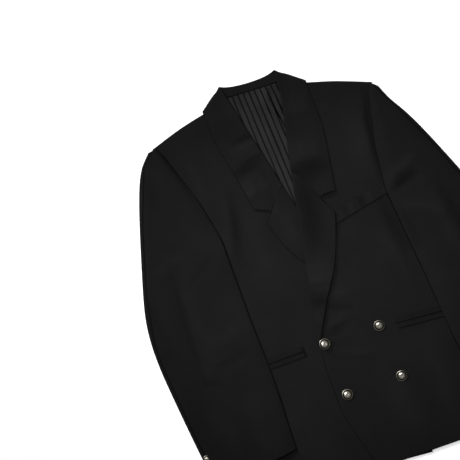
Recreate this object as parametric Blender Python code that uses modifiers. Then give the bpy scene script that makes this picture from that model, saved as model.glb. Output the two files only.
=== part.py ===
"""A double-breasted jacket lying flat on its back, front up, its sleeves along its sides.

Plan tables are in centimetres on the garment itself: out from the centre line, then down from
the top of the collar. Heights are in metres. The jacket lies a little askew on the table.
"""

import math

import bpy
import numpy as np
from mathutils.bvhtree import BVHTree

CM = 0.01
ASKEW = math.radians(5.5)

# Walls, and the clearances that keep the pieces apart
CLOTH = 0.0015
LINING = 0.0010
LIFT = 0.00035
SEAM = 0.15
FLOOR_CLEAR = 0.0008

# The turned edges: how far a roll reaches in plan, and the foot of a side or shoulder edge
ROLL_REACH = 0.24
ROLL_PUFF = 0.0012
ROLL_SOFTNESS = 1.8
TURN_UNDER = 2.0
TURN_UNDER_END = 0.55
TAPER_FROM = 40.0
FOOT_STEPS = ((0.12, 0.35), (0.18, 1.0))
SLEEVE_SWELL = 0.0035
ROLL_ANGLES = [math.radians(a) for a in (90, 45, 0, -45, -90)]

# The body's outline, the same on both halves: (out, down)
NECK_DOWN = 3.3
SHOULDER = [(10.3, 4.2), (15.0, 5.4), (18.0, 6.4), (21.6, 7.7)]
ARMHOLE = [(21.6, 7.7), (20.7, 9.6), (20.0, 12.5), (19.2, 15.4), (18.3, 18.2), (17.7, 21.2),
           (17.2, 24.6), (16.6, 28.3), (17.8, 30.5), (21.0, 31.3), (26.5, 31.6)]
SIDE = [(25.6, 38.0), (24.9, 46.0), (25.2, 56.0), (25.9, 67.0), (26.5, 77.2)]
BACK_NECK = [(0.03, 2.45), (4.6, 2.6), (7.0, 3.6)]
BACK_ARMHOLE = [(21.5, 8.0), (20.6, 11.0), (20.1, 16.0), (20.5, 21.0), (22.0, 26.0), (23.6, 29.0),
                (26.1, 31.6)]
BACK_HEM_DOWN = 78.0
FOLD_ALLOWANCE = 0.3

# The roll line of each front down to its break point: (out, down)
ROLL_LINE = {
    "right": [(5.1, 0.6), (3.9, 8.0), (2.4, 16.0), (0.7, 25.7), (-2.5, 37.0), (-7.0, 52.7)],
    "left": [(5.5, 0.9), (3.8, 8.6), (1.7, 16.2), (-0.7, 25.7), (-3.3, 37.0), (-4.9, 43.9),
             (-7.2, 52.7)],
}
BREAK_DOWN = 52.7
FRONT_EDGE = [(-7.05, 54.4), (-7.5, 58.0), (-7.6, 62.0), (-7.7, 67.0), (-6.8, 71.4),
              (-5.8, 75.8), (-5.3, 78.4)]

# How far down the gorge seam starts on the roll line, then the lapel's tip and edge
GORGE_DOWN = {"right": 21.5, "left": 19.3}
LAPEL_EDGE = {
    "right": [(7.1, 27.5), (6.5, 30.1), (5.6, 32.8), (4.5, 35.0), (3.3, 37.0), (0.0, 42.5),
              (-3.6, 48.0), (-6.4, 52.4)],
    "left": [(5.7, 29.4), (3.7, 34.4), (1.9, 38.3), (0.6, 40.6), (-2.1, 44.8), (-4.4, 48.6),
             (-6.6, 52.4)],
}

# Collar sections round the back of the neck: fold, middle and edge of the leaf, end of the
# stand, the leaf's lie (down at -90, up at 90) and the way the fold faces (up 90, inward 180)
COLLAR_BACK = [
    (0.0, 0.75, 0.0, 3.2, 0.0, 5.6, 0.0, 2.3, -90, 90),
    (2.6, 0.65, 2.9, 3.1, 3.2, 5.6, 2.3, 2.3, -90, 90),
    (4.4, 0.30, 5.7, 2.7, 7.0, 5.4, 4.2, 2.3, -90, 90),
    (5.0, 0.05, 6.9, 1.9, 9.0, 4.7, 4.7, 2.2, -90, 105),
    (5.25, 0.0, 7.3, 1.45, 9.95, 3.7, 5.0, 2.2, -55, 125),
    (5.3, 0.00, 7.4, 1.30, 10.2, 3.5, 5.3, 2.2, 0, 140),
    (5.3, 0.35, 7.5, 1.60, 10.25, 3.8, 5.7, 2.2, 55, 160),
]
# Collar sections down the fronts: height of the fold, middle of the leaf, its outer edge
COLLAR_FRONT = {
    "right": [(1.8, 7.6, 3.4, 10.3, 6.2), (5.0, 7.3, 6.5, 10.35, 8.4), (9.0, 6.9, 10.5, 10.0, 12.4),
              (13.0, 6.4, 15.0, 9.3, 16.6), (17.0, 5.9, 20.0, 8.8, 20.6), (21.4, 5.4, 25.45, 8.4, 24.3)],
    "left": [(1.8, 7.6, 3.6, 9.95, 6.2), (4.5, 7.4, 6.2, 9.95, 8.2), (8.0, 7.0, 10.0, 9.9, 12.3),
             (11.5, 6.2, 14.5, 9.1, 16.6), (15.0, 5.2, 19.5, 8.2, 21.0), (19.2, 4.15, 25.5, 7.3, 25.3)],
}
COLLAR_BACK_STACK = 0.0039
NECK_RAISE_DOWN = (7.0, 10.0)
NECK_RAISE_OUT = (11.5, 14.0)

# Sleeves: outer silhouette, inner fold on the body, end of the cloth that wraps underneath
SLEEVE_OUTER = {
    "right": [(22.8, 8.0), (24.3, 9.3), (25.3, 10.6), (27.4, 14.9), (29.7, 20.8), (31.8, 26.7),
              (34.1, 33.4), (35.5, 37.9), (36.4, 43.3), (36.6, 48.0), (36.4, 54.9), (36.1, 61.5),
              (35.8, 66.6), (35.3, 72.9)],
    "left": [(22.6, 8.6), (23.3, 11.0), (24.8, 13.3), (26.4, 16.5), (28.4, 21.5), (30.6, 27.5),
             (32.9, 34.0), (34.3, 38.5), (35.2, 43.5), (35.5, 48.0), (35.4, 55.0), (35.1, 62.0),
             (34.9, 66.6), (34.5, 72.7)],
}
SLEEVE_INNER = [(21.3, 7.75), (20.4, 9.6), (19.7, 12.5), (18.9, 15.4), (18.0, 18.2), (17.4, 21.2),
                (16.9, 24.6), (16.4, 28.3), (16.6, 31.5), (16.8, 36.0), (17.2, 45.0),
                (17.4, 53.1), (17.7, 59.6), (18.2, 65.0), (18.6, 70.25)]
WRAP_END = [(22.0, 8.2), (21.0, 11.0), (20.5, 16.0), (20.9, 21.0), (22.6, 26.0), (24.5, 29.0),
            (27.0, 31.8), (30.2, 34.5), (32.4, 38.5), (33.4, 43.0), (33.6, 50.0), (33.5, 60.0), (33.0, 72.5)]
UNDER_TOP_DOWN = 32.0
UNDER_INSET = 0.25
UNDER_LAP = 0.8
PIT_DOWN = (29.0, 31.6)
SIDE_FOOT_DOWN = (31.6, 34.0)

# Pockets, buttons
WELT = {"lower": ((4.6, 31.5), (16.3, 28.7)), "height": 2.3}
JET_TALL = 0.95
JET_SLIT = 0.12
JET_START = {"right": (9.8, 52.9), "left": (8.3, 52.9)}
JET_END = (23.6, 53.6)
TRIM = 0.0010
BUTTONS = [(-5.8, 52.6), (5.1, 52.3), (-5.5, 63.1), (5.4, 62.7)]
CUFF_BUTTONS = [(35.0, 67.0), (34.9, 68.9), (34.8, 70.8)]
CUFF_BUTTON_SHIFT = {"right": 0.0, "left": -0.8}
BUTTON_ACROSS = 0.022
CUFF_BUTTON_ACROSS = 0.015
BUTTON_TURNS = 14
# Radius and height on a button 1 across: dimple, boss, field, rim, back
BUTTON_PROFILE = [(0.0, 0.17), (0.09, 0.20), (0.16, 0.17), (0.20, 0.125), (0.38, 0.11),
                  (0.44, 0.13), (0.50, 0.08), (0.47, 0.02), (0.0, 0.0)]

DRAPE_PASSES = 3
RING_TURNS = 10
SIGN = {"right": -1.0, "left": 1.0}
BLACK_CLOTH = ((0.012, 0.012, 0.013), 0.85, 0.0)
SATIN_CLOTH = ((0.014, 0.014, 0.015), 0.6, 0.0)
GREY_LINING = ((0.03, 0.03, 0.032), 0.5, 0.0)
OLD_SILVER = ((0.45, 0.43, 0.37), 0.35, 1.0)


def clear_scene():
    for thing in list(bpy.data.objects):
        bpy.data.objects.remove(thing, do_unlink=True)


def material(name, look):
    colour, roughness, metallic = look
    made = bpy.data.materials.new(name)
    made.use_nodes = True
    shader = made.node_tree.nodes["Principled BSDF"]
    shader.inputs["Base Color"].default_value = (*colour, 1.0)
    shader.inputs["Roughness"].default_value = roughness
    shader.inputs["Metallic"].default_value = metallic
    return made


def curve(points, fractions):
    """A smooth line through the points, read at fractions of its length."""
    p = np.array(points, float)
    length = np.concatenate([[0], np.cumsum(np.hypot(*np.diff(p, axis=0).T))])
    if len(p) == 2:
        slope = np.array([p[1] - p[0], p[1] - p[0]]) / length[-1]
    else:
        slope = np.gradient(p, length, axis=0)
    at = np.asarray(fractions) * length[-1]
    k = np.clip(np.searchsorted(length, at, side="right") - 1, 0, len(p) - 2)
    span = (length[k + 1] - length[k])[:, None]
    t = ((at - length[k])[:, None]) / span
    return ((2 * t**3 - 3 * t**2 + 1) * p[k] + (t**3 - 2 * t**2 + t) * span * slope[k]
            + (3 * t**2 - 2 * t**3) * p[k + 1] + (t**3 - t**2) * span * slope[k + 1])


def out_at(points, down):
    """How far out a line lies at a given distance down."""
    line = curve(points, np.linspace(0, 1, 80))
    return float(np.interp(down, line[:, 1], line[:, 0]))


def patch(inner, outer, across, top=None, bottom=None):
    """A grid of plan points between an inner and an outer line, rows going down."""
    u = np.asarray(across)[None, :, None]
    v = np.linspace(0, 1, len(inner))[:, None, None]
    grid = inner[:, None] * (1 - u) + outer[:, None] * u
    for line, share, end in ((top, 1 - v, 0), (bottom, v, -1)):
        if line is not None:
            grid = grid + share * (line[None] - grid[end][None])
    return grid


def on_table(side, plan):
    """Plan points of one half as places on the table."""
    out = side * plan[..., 0] * CM
    return np.stack([out * math.cos(ASKEW), -plan[..., 1] * CM - out * math.sin(ASKEW)], axis=-1)


def tops(layers, places, reach):
    """The highest point of the layers within reach of each place, and 0 on the bare table."""
    offsets = [(0.0, 0.0)]
    for ring in (0.33, 0.67, 1.0):
        for turn in range(RING_TURNS):
            angle = math.tau * (turn + ring) / RING_TURNS
            offsets.append((reach * ring * math.cos(angle), reach * ring * math.sin(angle)))
    flat = places.reshape(-1, 2)
    found = np.zeros(len(flat))
    for index, (x, y) in enumerate(flat):
        for dx, dy in offsets:
            for layer in layers:
                hit = layer.ray_cast((x + dx, y + dy, 1.0), (0.0, 0.0, -1.0))[0]
                if hit is not None:
                    found[index] = max(found[index], hit.z)
    return found.reshape(places.shape[:-1])


def laid(layers, places, reach, least=None):
    """Heights of cloth laid on the layers: over everything, drawn smooth between high places."""
    found = tops(layers, places, reach)
    height = np.where(found > 0, found + LIFT, 0.0)
    if least is not None:
        height = np.maximum(height, least)
    for _ in range(DRAPE_PASSES):
        edged = np.pad(height, 1, mode="edge")
        mean = (edged[:-2, 1:-1] + edged[2:, 1:-1] + edged[1:-1, :-2] + edged[1:-1, 2:]) / 4
        height = np.maximum(height, mean)
    return height


def ease(value, low, high):
    t = np.clip((value - low) / (high - low), 0, 1)
    return t * t * (3 - 2 * t)


def neck_floor(plan):
    """The collar's back leaf lies on the table under the neck and lifts what is above it."""
    raised = (1 - ease(plan[..., 1], *NECK_RAISE_DOWN)) * (1 - ease(plan[..., 0], *NECK_RAISE_OUT))
    return raised * (CLOTH + LIFT)


def wall(name, side, places, heights, thickness, look, collection, inward=True):
    """A cloth wall under a grid of skin points, as an open surface with a Solidify modifier."""
    rows, columns = heights.shape
    points = np.concatenate([places, heights[..., None]], axis=-1).reshape(-1, 3)
    faces = []
    for r in range(rows - 1):
        for c in range(columns - 1):
            a, b = r * columns + c, (r + 1) * columns + c
            face = (a, b, b + 1, a + 1)
            faces.append(face if side > 0 else face[::-1])
    mesh = bpy.data.meshes.new(name)
    mesh.from_pydata(points.tolist(), [], faces)
    mesh.shade_smooth()
    mesh.set_sharp_from_angle(angle=math.radians(40))
    made = bpy.data.objects.new(name, mesh)
    collection.objects.link(made)
    made.data.materials.append(material(name + "_cloth", look))
    solid = made.modifiers.new("wall", "SOLIDIFY")
    solid.thickness = thickness
    solid.offset = -1.0 if inward else 1.0
    solid.use_even_offset = True
    return made


def layer_of(made):
    bpy.context.view_layer.update()
    return BVHTree.FromObject(made, bpy.context.evaluated_depsgraph_get())


def foot(plan, heights, at, ends, share):
    """Rows or columns added past a grid's edge, where the cloth turns down to its foot."""
    steps = []
    for reach, drop in FOOT_STEPS:
        level = heights + (ends - heights) * drop * share
        steps.append((plan + np.asarray(at) * reach, level))
    return steps


def back_half(side, name, collection):
    line = np.linspace(0, 1, 23)
    downs = BACK_NECK[0][1] + line * (BACK_HEM_DOWN - BACK_NECK[0][1])
    inner = np.stack([np.full_like(downs, BACK_NECK[0][0]), downs], axis=-1)
    edge = BACK_ARMHOLE + [(x - FOLD_ALLOWANCE, y) for x, y in SIDE]
    outer = curve(edge, line)
    across = np.array([0, 0.12, 0.225, 0.327, 0.46, 0.6, 0.74, 0.87, 1.0])
    neck = curve(BACK_NECK, np.array([0, 0.36, 0.68, 1.0]))
    seam = [BACK_NECK[-1]] + [(x, y + FOLD_ALLOWANCE) for x, y in SHOULDER[:-1]] + [BACK_ARMHOLE[0]]
    shoulder = curve(seam, (across[4:] - 0.327) / 0.673)
    plan = patch(inner, outer, across, top=np.concatenate([neck, shoulder]))
    places = on_table(side, plan)
    heights = neck_floor(plan) + CLOTH
    return wall(name, side, places, heights, CLOTH, BLACK_CLOTH, collection)


def lining_panel(layers, collection):
    downs = np.linspace(2.5, 28.0, 12)
    left = np.array([(-out_at(ROLL_LINE["right"], d) - 1.3, d) for d in downs])
    right = np.array([(out_at(ROLL_LINE["left"], d) + 1.3, d) for d in downs])
    plan = patch(left, right, np.linspace(0, 1, 6))
    places = on_table(1.0, plan)
    heights = laid(layers, places, 0.02) + LINING
    return wall("neck_lining", 1.0, places, heights, LINING, GREY_LINING, collection)


def turn_under(down):
    share = min(max((down - TAPER_FROM) / (BREAK_DOWN - TAPER_FROM), 0), 1)
    return TURN_UNDER + (TURN_UNDER_END - TURN_UNDER) * share


def front_panel(hand, layers, collection):
    side = SIGN[hand]
    roll = ROLL_LINE[hand]
    neck = [(out_at(roll, d) + turn_under(d), d)
            for d in (NECK_DOWN, 8.0, 14.0, 20.0, 26.0, 32.0, 38.0, 43.0, 48.0, BREAK_DOWN)]
    line = np.linspace(0, 1, 27)
    across = np.linspace(0, 1, 10)
    inner = curve(neck + FRONT_EDGE, line)
    outer = curve(ARMHOLE + SIDE, line)
    plan = patch(inner, outer, across, top=curve([neck[0]] + SHOULDER, across))
    places = on_table(side, plan)
    heights = laid(layers, places, 0.040) + CLOTH
    share = ease(plan[:, -1, 1], *SIDE_FOOT_DOWN)
    for step, level in foot(plan[:, -1], heights[:, -1], (1, 0), FLOOR_CLEAR, share):
        plan = np.concatenate([plan, step[:, None]], axis=1)
        heights = np.concatenate([heights, level[:, None]], axis=1)
    ends = neck_floor(plan[0]) + FLOOR_CLEAR
    for step, level in foot(plan[0], heights[0], (0, -1), ends, 1.0):
        plan = np.concatenate([step[None], plan])
        heights = np.concatenate([level[None], heights])
    return wall(f"front_{hand}", side, on_table(side, plan), heights, CLOTH, BLACK_CLOTH, collection)


def rolled(plan_run, top_run, low_out, low_height, fold):
    """Sections that run over the top, round a roll at the fold and back underneath."""
    plan, heights = [], []
    for row in range(len(plan_run)):
        x, y = fold[row]
        middle = (top_run[row, 0] + low_height[row]) / 2
        half = (top_run[row, 0] - low_height[row]) / 2
        points = [(low_out[row], y)]
        levels = [low_height[row]]
        for angle in reversed(ROLL_ANGLES):
            points.append((x + ROLL_REACH * (1 - math.cos(angle)), y))
            levels.append(middle + half * math.sin(angle))
        points += list(plan_run[row, 1:])
        levels += list(top_run[row, 1:])
        plan.append(points)
        heights.append(levels)
    return np.array(plan), np.array(heights)


def puffed(plan, fold, heights):
    away = plan[..., 0] - fold[:, None, 0]
    return heights + ROLL_PUFF * np.exp(-np.maximum(away, 0) / ROLL_SOFTNESS)


def lapel(hand, under, over, collection):
    side = SIGN[hand]
    roll = ROLL_LINE[hand]
    rows = 15
    downs = np.linspace(GORGE_DOWN[hand], LAPEL_EDGE[hand][-1][1], rows)
    fold = np.array([(out_at(roll, d), d) for d in downs])
    outer = curve(LAPEL_EDGE[hand], np.linspace(0, 1, rows))
    inner = fold + np.array([ROLL_REACH, 0])
    run = patch(inner, outer, np.linspace(0, 1, 7))
    top = laid(over, on_table(side, run), 0.02) + CLOTH
    top = puffed(run, fold, top)
    low_out = np.array([out_at(roll, d) + turn_under(d) - SEAM for d in downs])
    low_plan = np.stack([(low_out + fold[:, 0]) / 2, downs], axis=-1)[:, None]
    low = laid(under, on_table(side, low_plan), 0.02)[:, 0]
    top[:, 0] = np.maximum(top[:, 0], low + 2 * CLOTH + 3 * LIFT)
    plan, heights = rolled(run, top, low_out, low, fold)
    return wall(f"lapel_{hand}", side, on_table(side, plan), heights, CLOTH, SATIN_CLOTH, collection)


def collar_rows(hand):
    roll = ROLL_LINE[hand]
    rows = [list(row) for row in COLLAR_BACK]
    for down, mid_out, mid_down, edge_out, edge_down in COLLAR_FRONT[hand]:
        fold_out = out_at(roll, down)
        stand = fold_out + turn_under(down) - SEAM
        rows.append([fold_out, down, mid_out, mid_down, edge_out, edge_down, stand, down, 90, 180])
    table = np.array(rows, float)
    steps = np.linspace(0, len(table) - 1, 19)
    known = np.arange(len(table))
    slope = np.gradient(table, axis=0)
    k = np.clip(steps.astype(int), 0, len(table) - 2)
    t = (steps - k)[:, None]
    smooth = ((2 * t**3 - 3 * t**2 + 1) * table[k] + (t**3 - 2 * t**2 + t) * slope[k]
              + (3 * t**2 - 2 * t**3) * table[k + 1] + (t**3 - t**2) * slope[k + 1])
    linear = np.stack([np.interp(steps, known, table[:, c]) for c in (8, 9)], axis=-1)
    smooth[:, 8:] = linear
    return smooth


def collar_half(hand, under, over):
    side = SIGN[hand]
    table = collar_rows(hand)
    fold, mid, edge, stand = (table[:, c:c + 2] for c in (0, 2, 4, 6))
    lie, face = np.radians(table[:, 8]), np.radians(table[:, 9])
    up = (1 + np.sin(lie)) / 2
    facing = np.stack([np.cos(face), -np.sin(face)], axis=-1)
    normal = np.stack([np.sin(face), np.cos(face)], axis=-1) * np.cos(lie)[:, None]
    centre = fold - facing * ROLL_REACH
    leaf = np.stack([edge, (edge + mid) / 2, mid, (2 * mid + centre) / 3, (mid + 2 * centre) / 3], axis=1)
    leaf_top = laid(over, on_table(side, leaf), 0.027) + CLOTH
    start_top = laid(over + under, on_table(side, centre[:, None]), 0.022)[:, 0] + CLOTH
    low = laid(under, on_table(side, ((stand + fold) / 2)[:, None]), 0.015)[:, 0]
    start_top = np.maximum(start_top, low + 2 * CLOTH + 3 * LIFT) + ROLL_PUFF
    start_top = np.maximum(start_top, leaf_top[:, -1])
    leaf_level = leaf_top * up[:, None]
    start = start_top * up
    stand_level = COLLAR_BACK_STACK * (1 - up) + low * up
    plan, heights = [], []
    for row in range(len(table)):
        points, levels = list(leaf[row]), list(leaf_level[row])
        middle, half = (start[row] + stand_level[row]) / 2, (start[row] - stand_level[row]) / 2
        for angle in ROLL_ANGLES:
            points.append(centre[row] + facing[row] * ROLL_REACH * math.cos(angle)
                          + normal[row] * ROLL_REACH * math.sin(angle))
            levels.append(middle + half * math.sin(angle))
        points.append(stand[row])
        levels.append(stand_level[row])
        plan.append(points)
        heights.append(levels)
    return on_table(side, np.array(plan)), np.array(heights)


def collar(under, over, collection):
    right_places, right_heights = collar_half("right", under, over["right"])
    left_places, left_heights = collar_half("left", under, over["left"])
    places = np.concatenate([right_places[:0:-1], left_places])
    heights = np.concatenate([right_heights[:0:-1], left_heights])
    return wall("collar", -1.0, places, heights, CLOTH, SATIN_CLOTH, collection)


def strip(name, side, corners, columns, layers, collection, rows=2):
    """A welt or jet laid on a front: its four corners in plan, start and end of each edge."""
    upper = curve([corners[0], corners[1]], np.linspace(0, 1, columns))
    lower = curve([corners[2], corners[3]], np.linspace(0, 1, columns))
    share = np.linspace(0, 1, rows)[:, None, None]
    plan = upper[None] * (1 - share) + lower[None] * share
    places = on_table(side, plan)
    heights = tops(layers, places, 0.012) + LIFT + TRIM
    return wall(name, side, places, heights, TRIM, BLACK_CLOTH, collection)


def welt(layers, collection):
    (x0, y0), (x1, y1) = WELT["lower"]
    tall = WELT["height"]
    return strip("breast_welt", 1.0, ((x0, y0 - tall), (x1, y1 - tall), (x0, y0), (x1, y1)), 9,
                 layers, collection, rows=3)


def jets(hand, layers, collection):
    made = []
    (x0, y0), (x1, y1) = JET_START[hand], JET_END
    for level, name in ((-1, "upper"), (1, "lower")):
        near, far = sorted((level * JET_SLIT / 2, level * (JET_SLIT / 2 + JET_TALL)))
        corners = ((x0, y0 + near), (x1, y1 + near), (x0, y0 + far), (x1, y1 + far))
        made.append(strip(f"hip_jet_{hand}_{name}", SIGN[hand], corners, 9, layers, collection))
    return made


def sleeve(hand, body, collection):
    side = SIGN[hand]
    rows = 24
    line = np.linspace(0, 1, rows)
    wrap_end = curve(WRAP_END, line)
    inner = curve(SLEEVE_INNER, line)
    outer = curve(SLEEVE_OUTER[hand], line)
    shift = np.array([SLEEVE_OUTER[hand][-1][0] - SLEEVE_OUTER["right"][-1][0], 0.0])
    wrap_end = wrap_end + shift * ease(wrap_end[:, 1], 30.0, 42.0)[:, None]
    inside = outer - np.array([ROLL_REACH, 0])

    ground = patch(wrap_end, inside, np.linspace(0, 1, 3))
    ground_places = on_table(side, ground)
    corners = np.concatenate([ground_places, np.full(ground_places.shape[:2] + (1,), CLOTH)], axis=-1)
    cells = [(r * 3 + c, (r + 1) * 3 + c, (r + 1) * 3 + c + 1, r * 3 + c + 1)
             for r in range(rows - 1) for c in range(2)]
    wrapped = BVHTree.FromPolygons(corners.reshape(-1, 3).tolist(), cells)

    share = np.linspace(0, 1, 20)
    low_in = np.array([(out_at(SLEEVE_INNER, d) + UNDER_INSET, d)
                       for d in UNDER_TOP_DOWN + share * (SLEEVE_INNER[-1][1] - UNDER_TOP_DOWN)])
    low_out = np.array([(np.interp(d, wrap_end[:, 1], wrap_end[:, 0]) + UNDER_LAP, d)
                        for d in UNDER_TOP_DOWN + share * (WRAP_END[-1][1] - UNDER_TOP_DOWN)])
    low_plan = patch(low_in, low_out, np.linspace(0, 1, 8))
    low_places = on_table(side, low_plan)
    low_heights = laid(body + [wrapped], low_places, 0.028) + CLOTH
    under = wall(f"sleeve_{hand}_under", side, low_places, low_heights, CLOTH, BLACK_CLOTH, collection)

    run = patch(inner, inside, np.linspace(0, 1, 8))
    beneath = body + [wrapped, layer_of(under)]
    skin = laid(beneath, on_table(side, run), 0.03, least=SLEEVE_SWELL) + CLOTH
    inner_foot = tops(body, on_table(side, inner[:, None]), 0.017)[:, 0] + LIFT + FLOOR_CLEAR / 2
    share = ease(inner[:, 1], *PIT_DOWN)
    plan, heights = run, skin
    for step, level in foot(run[:, 0], skin[:, 0], (-1, 0), inner_foot, share):
        plan = np.concatenate([step[:, None], plan], axis=1)
        heights = np.concatenate([level[:, None], heights], axis=1)
    half = skin[:, -1] / 2
    for angle in ROLL_ANGLES[1:]:
        arc = inside + np.array([ROLL_REACH * math.cos(angle), 0])
        plan = np.concatenate([plan, arc[:, None]], axis=1)
        heights = np.concatenate([heights, (half * (1 + math.sin(angle)))[:, None]], axis=1)
    for point in (ground[:, 1], ground[:, 0]):
        plan = np.concatenate([plan, point[:, None]], axis=1)
        heights = np.concatenate([heights, np.zeros((rows, 1))], axis=1)
    top = wall(f"sleeve_{hand}_top", side, on_table(side, plan), heights, CLOTH, BLACK_CLOTH, collection)
    return [under, top]


def button(name, side, spot, across, layers, collection):
    """A turned metal button: a raised rim round a field with a dimpled boss."""
    place = on_table(side, np.array([[spot]], float))
    level = tops(layers, place, across / 2)[0, 0] + LIFT
    mesh = bpy.data.meshes.new(name)
    points = [(r * across, 0.0, h * across) for r, h in BUTTON_PROFILE]
    mesh.from_pydata(points, [(i, i + 1) for i in range(len(points) - 1)], [])
    made = bpy.data.objects.new(name, mesh)
    collection.objects.link(made)
    made.location = (place[0, 0, 0], place[0, 0, 1], level)
    made.data.materials.append(material(name + "_metal", OLD_SILVER))
    turned = made.modifiers.new("turned", "SCREW")
    turned.steps = BUTTON_TURNS
    turned.render_steps = BUTTON_TURNS
    turned.use_merge_vertices = True
    turned.merge_threshold = 0.00001
    turned.use_smooth_shade = True
    return made


def centre_on_table(pieces):
    """Moves every piece so that the jacket's outline is centred on the origin."""
    bpy.context.view_layer.update()
    graph = bpy.context.evaluated_depsgraph_get()
    low, high = np.full(3, 9.0), np.full(3, -9.0)
    for piece in pieces:
        shaped = piece.evaluated_get(graph)
        corners = np.array([piece.matrix_world @ point.co for point in shaped.to_mesh().vertices])
        shaped.to_mesh_clear()
        low, high = np.minimum(low, corners.min(axis=0)), np.maximum(high, corners.max(axis=0))
    middle = (low + high) / 2
    for piece in pieces:
        piece.location.x -= middle[0]
        piece.location.y -= middle[1]


clear_scene()
jacket = bpy.data.collections.new("double_breasted_jacket")
bpy.context.scene.collection.children.link(jacket)

backs = [back_half(SIGN[hand], f"back_{hand}", jacket) for hand in ("right", "left")]
back_layers = [layer_of(piece) for piece in backs]
lining = lining_panel(back_layers, jacket)
inside_layers = back_layers + [layer_of(lining)]

front_right = front_panel("right", inside_layers, jacket)
right_layer = layer_of(front_right)
lapel_right = lapel("right", inside_layers, [right_layer], jacket)
closed_layers = inside_layers + [right_layer, layer_of(lapel_right)]

front_left = front_panel("left", closed_layers, jacket)
left_layer = layer_of(front_left)
breast_welt = welt([left_layer], jacket)
welt_layer = layer_of(breast_welt)
lapel_left = lapel("left", closed_layers, [left_layer, welt_layer], jacket)
neck_band = collar(inside_layers, {"right": [right_layer], "left": [left_layer]}, jacket)

right_jets = jets("right", [right_layer], jacket)
left_jets = jets("left", [left_layer], jacket)
outside = closed_layers + [left_layer, welt_layer, layer_of(lapel_left), layer_of(neck_band)]
outside += [layer_of(jet) for jet in right_jets + left_jets]
sleeves = {hand: sleeve(hand, outside, jacket) for hand in ("right", "left")}

buttons = [button(f"button_{n}", 1.0, spot, BUTTON_ACROSS, outside, jacket)
           for n, spot in enumerate(BUTTONS, 1)]
for hand, pieces in sleeves.items():
    cuff_layers = [layer_of(piece) for piece in pieces]
    for n, (out, down) in enumerate(CUFF_BUTTONS, 1):
        spot = (out + CUFF_BUTTON_SHIFT[hand], down)
        buttons.append(button(f"cuff_button_{hand}_{n}", SIGN[hand], spot, CUFF_BUTTON_ACROSS,
                              cuff_layers, jacket))

centre_on_table(list(jacket.objects))
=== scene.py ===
import math

import bpy
import numpy as np
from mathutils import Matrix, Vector
from mathutils.kdtree import KDTree


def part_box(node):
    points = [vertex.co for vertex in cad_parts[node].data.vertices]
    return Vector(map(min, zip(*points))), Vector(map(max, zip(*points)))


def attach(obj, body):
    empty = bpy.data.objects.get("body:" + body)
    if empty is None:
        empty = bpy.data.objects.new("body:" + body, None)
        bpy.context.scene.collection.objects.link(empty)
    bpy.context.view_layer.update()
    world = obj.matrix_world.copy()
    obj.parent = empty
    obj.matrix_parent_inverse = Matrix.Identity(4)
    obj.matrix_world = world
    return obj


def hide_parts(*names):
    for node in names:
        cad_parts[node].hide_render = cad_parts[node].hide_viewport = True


# A double-breasted jacket of black wool, laid flat on its back on a pale table.
# Plan points are in centimetres on the garment: out to the viewer's right from the centre line,
# then down from the top of the collar.
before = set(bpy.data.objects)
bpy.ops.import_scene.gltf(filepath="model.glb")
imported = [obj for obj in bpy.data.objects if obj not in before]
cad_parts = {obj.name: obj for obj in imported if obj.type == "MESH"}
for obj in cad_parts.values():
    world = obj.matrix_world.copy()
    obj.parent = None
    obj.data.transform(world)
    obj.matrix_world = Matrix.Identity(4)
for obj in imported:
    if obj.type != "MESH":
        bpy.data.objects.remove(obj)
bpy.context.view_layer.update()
bpy.ops.object.select_all(action="DESELECT")

# The back: two halves of black wool twill, sewn together down the middle, with a seam to each
# side body. It lies flat on the table, so nothing but its seams breaks its surface.
CM = 0.01
ASKEW = math.radians(5.5)
CENTRE_LINE = (0.0053, 0.3958)


def plan_of(places):
    """Places in metres as garment points: out and down, in centimetres."""
    out = (places[:, 0] - CENTRE_LINE[0]) / (CM * math.cos(ASKEW))
    down = (CENTRE_LINE[1] - places[:, 1]) / CM - out * math.sin(ASKEW)
    return out, down


def linear(shade):
    """An sRGB hex colour as linear light."""
    parts = [int(shade[i:i + 2], 16) / 255 for i in (1, 3, 5)]
    return tuple(((c + 0.055) / 1.055) ** 2.4 if c > 0.04045 else c / 12.92 for c in parts) + (1.0,)


def node(tree, kind, settings=None, links=None):
    """Adds a shader node with its settings and what feeds it."""
    made = tree.nodes.new("ShaderNode" + kind)
    for key, value in (settings or {}).items():
        if isinstance(key, str) and hasattr(made, key):
            setattr(made, key, value)
        else:
            made.inputs[key].default_value = value
    for key, source in (links or {}).items():
        tree.links.new(source, made.inputs[key])
    return made


def measured(out, down, line):
    """Signed distance from a line of garment points, and how far along it the nearest point is."""
    best = np.full(len(out), np.inf)
    signed = np.zeros(len(out))
    run = np.zeros(len(out))
    ends = np.asarray(line, float)
    lengths = np.hypot(*np.diff(ends, axis=0).T)
    done = 0.0
    for start, end, length in zip(ends[:-1], ends[1:], lengths):
        way = (end - start) / length
        dx, dy = out - start[0], down - start[1]
        t = np.clip(dx * way[0] + dy * way[1], 0, length)
        away = np.hypot(dx - t * way[0], dy - t * way[1])
        near = away < best
        best = np.where(near, away, best)
        side = np.where(dx * way[1] - dy * way[0] < 0, -1.0, 1.0)
        signed = np.where(near, side * away, signed)
        run = np.where(near, done + t, run)
        done += length
    return signed, run / lengths.sum()


FOLD_UNIT = 0.0014
FOLD_FADE = 0.7


def folds(out, down, lines):
    """Soft ridges, or troughs where the height is negative, each fading out towards its ends.
    A fold is its line, its width in cm on either side, and its height in fold units."""
    total = np.zeros(len(out))
    for line, (near, far), height in lines:
        away, run = measured(out, down, line)
        width = np.where(away < 0, near, far)
        total += height * FOLD_UNIT * np.exp(-(away / width) ** 2) * np.sin(np.pi * run) ** FOLD_FADE
    return total


WELD = 0.00002
FACE_TURN = 35
FACE_SKEW = 60
CORNER = 60
WALL_CORNER = 30
UPRIGHT = 0.8
SHARP = 48


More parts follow.
